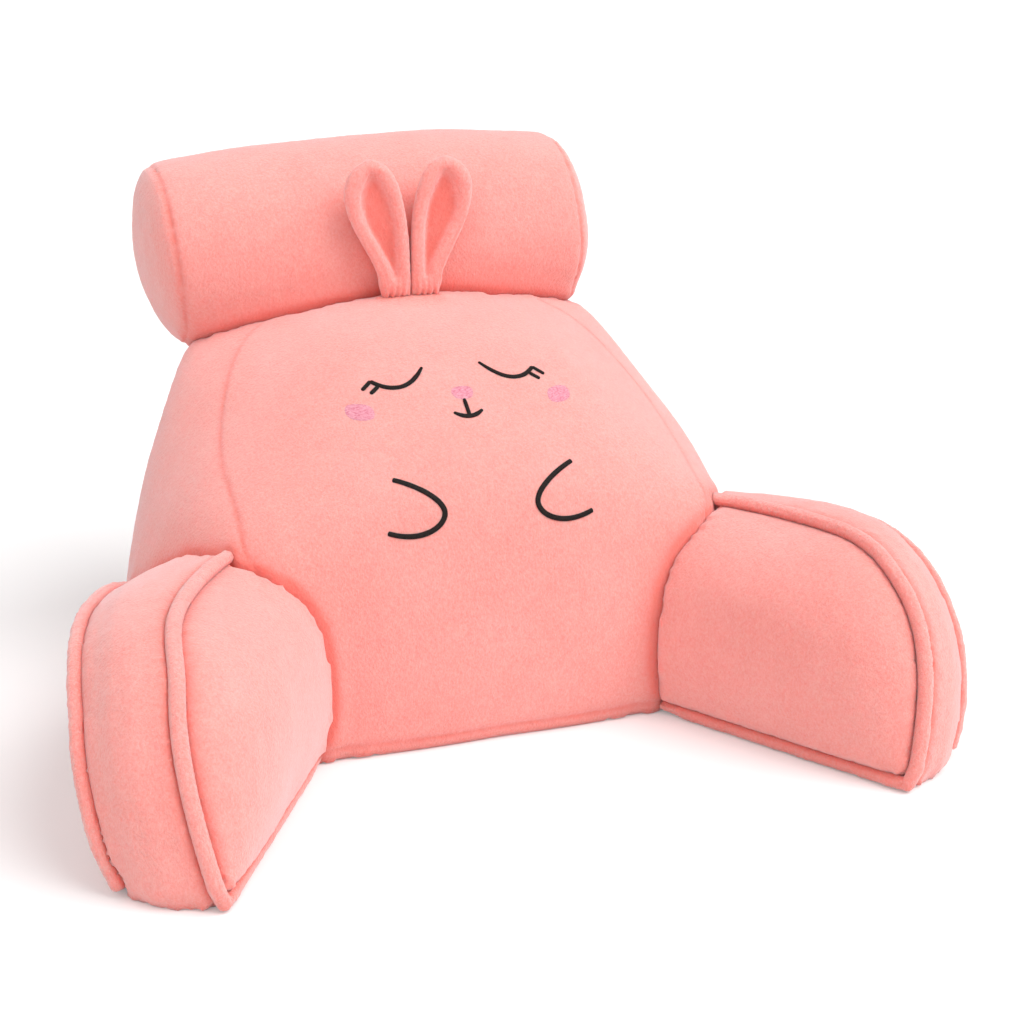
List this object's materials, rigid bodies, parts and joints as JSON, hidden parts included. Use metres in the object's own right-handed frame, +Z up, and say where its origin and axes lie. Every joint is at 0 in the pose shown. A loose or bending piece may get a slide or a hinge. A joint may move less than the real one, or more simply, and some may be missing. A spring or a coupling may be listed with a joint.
{
  "type": "reading pillow with arms",
  "caption": "Plush reading pillow: a filled backrest with padded piped arms, a neck roll across the top, upright ears and an embroidered sleeping animal face.",
  "frame": {"origin": "on the floor under the middle of the whole pillow, arms included", "axes": "+Z up, -Y towards the side the sitter leans on and the arms point to, +X to the sitter's left when seated, which is the right side of the pillow seen from the front"},
  "size_m": [0.7098, 0.6175, 0.4509],
  "materials": {
    "plush": "short soft pile, matt, coral pink",
    "plush_piping": "short soft pile over a padded core, matt, coral pink",
    "plush_ear": "short soft pile, matt, coral pink"
  },
  "bodies": {
    "root": {"backrest": "plush", "arm_left": "plush", "arm_right": "plush", "piping_inner_left": "plush_piping", "piping_inner_right": "plush_piping", "piping_outer_left": "plush_piping", "piping_outer_right": "plush_piping", "neck_roll": "plush", "ear_left": "plush_ear", "ear_right": "plush_ear"}
  },
  "joints": []
}
